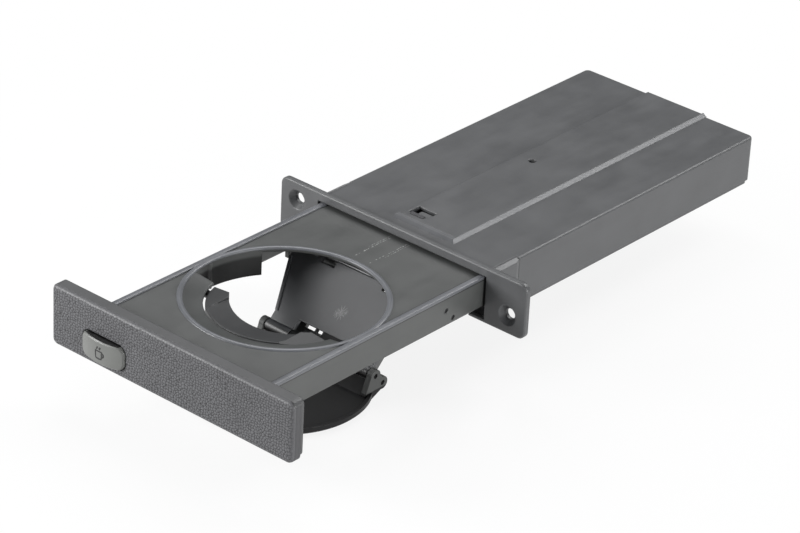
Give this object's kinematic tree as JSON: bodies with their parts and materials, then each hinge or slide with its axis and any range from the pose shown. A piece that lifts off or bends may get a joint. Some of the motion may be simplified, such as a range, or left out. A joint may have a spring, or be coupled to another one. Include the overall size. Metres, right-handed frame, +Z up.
{
  "type": "pull-out dashboard cup holder",
  "caption": "Flat sleeve with a screw-on bezel and a sprung drawer whose ring, folding base and spring flap hold a cup; a push button frees it.",
  "frame": {"origin": "middle of the bezel's front face, which is level with the dashboard's face", "axes": "+Y into the dashboard along the drawer's travel, +Z up, X across; the part is drawn pulled out"},
  "size_m": [0.124, 0.2933, 0.0438],
  "materials": {
    "housing_plastic": "satin charcoal moulded plastic",
    "drawer_plastic": "fine satin black moulded plastic",
    "grained_plastic": "charcoal plastic with a leather grain",
    "button_plastic": "smooth satin black plastic",
    "damper_plastic": "plain black plastic",
    "gear_plastic": "natural acetal",
    "spring_steel": "bright spring steel",
    "pin_steel": "drawn steel rod"
  },
  "bodies": {
    "housing": {"bezel_flange": "housing_plastic", "housing_cover": "housing_plastic", "housing_floor": "housing_plastic", "spring_band": "spring_steel"},
    "drawer": {"drawer_tray": "drawer_plastic", "face_panel": "grained_plastic", "button_spring": "spring_steel", "latch_pin": "pin_steel", "reel_pin": "pin_steel", "damper_body": "damper_plastic", "upper_rod_front": "pin_steel", "upper_rod_rear": "pin_steel"},
    "button": {"push_button": "button_plastic"},
    "latch": {"latch_lever": "drawer_plastic"},
    "flap": {"grip_flap": "drawer_plastic"},
    "front_link": {"link_plate": "drawer_plastic"},
    "rear_link": {"rear_link": "drawer_plastic"},
    "cup_base": {"cup_base": "drawer_plastic", "lower_rod_front": "pin_steel", "lower_rod_rear": "pin_steel"},
    "reel": {"spring_reel": "spring_steel"},
    "gear": {"damper_gear": "gear_plastic"}
  },
  "joints": [
    {"name": "drawer_slide", "type": "slide", "parent": "housing", "child": "drawer", "axis": [0, 1, 0], "range_m": [0, 0.1183], "stiffness_N_per_m": 6, "springref_m": -0.4, "deforming": ["spring_band"]},
    {"name": "button_push", "type": "slide", "parent": "drawer", "child": "button", "axis": [0, 1, 0], "range_m": [0, 0.002], "stiffness_N_per_m": 600, "springref_m": -0.001, "deforming": ["button_spring"]},
    {"name": "flap_tilt", "type": "hinge", "parent": "drawer", "child": "flap", "pos_m": [0, -0.075, 0.0012], "axis": [1, 0, 0], "range_deg": [0, 10], "stiffness_Nm_per_rad": 0.05, "springref_deg": -5.73},
    {"name": "latch_turn", "type": "hinge", "parent": "drawer", "child": "latch", "pos_m": [-0.036, -0.104, -0.0069], "axis": [0, 0, 1], "range_deg": [0, 16.4]},
    {"name": "front_link_fold", "type": "hinge", "parent": "drawer", "child": "front_link", "pos_m": [0, -0.0206, 0.0011], "axis": [-1, 0, 0], "range_deg": [0, 43.5]},
    {"name": "rear_link_fold", "type": "hinge", "parent": "drawer", "child": "rear_link", "pos_m": [0, -0.0165, -0.0032], "axis": [-1, 0, 0], "range_deg": [0, 43.5]},
    {"name": "cup_base_level", "type": "hinge", "parent": "front_link", "child": "cup_base", "pos_m": [0, -0.04422, -0.02252], "axis": [-1, 0, 0], "range_deg": [-43.5, 0]},
    {"name": "reel_spin", "type": "hinge", "parent": "drawer", "child": "reel", "pos_m": [-0.0045, 0.034, 0.00285], "axis": [1, 0, 0], "range_deg": [0, 1304]},
    {"name": "damper_spin", "type": "hinge", "parent": "drawer", "child": "gear", "pos_m": [-0.0313, 0.032, -0.0077], "axis": [0, 0, 1], "range_deg": [0, 1211]}
  ],
  "couplings": [
    {"joint": "front_link_fold", "follows": "drawer_slide", "rad_per_m": 6.4177},
    {"joint": "rear_link_fold", "follows": "drawer_slide", "rad_per_m": 6.4177},
    {"joint": "cup_base_level", "follows": "drawer_slide", "rad_per_m": -6.4177},
    {"joint": "reel_spin", "follows": "drawer_slide", "rad_per_m": 192.31},
    {"joint": "damper_spin", "follows": "drawer_slide", "rad_per_m": 178.57},
    {"joint": "latch_turn", "follows": "button_push", "rad_per_m": 142.5}
  ]
}
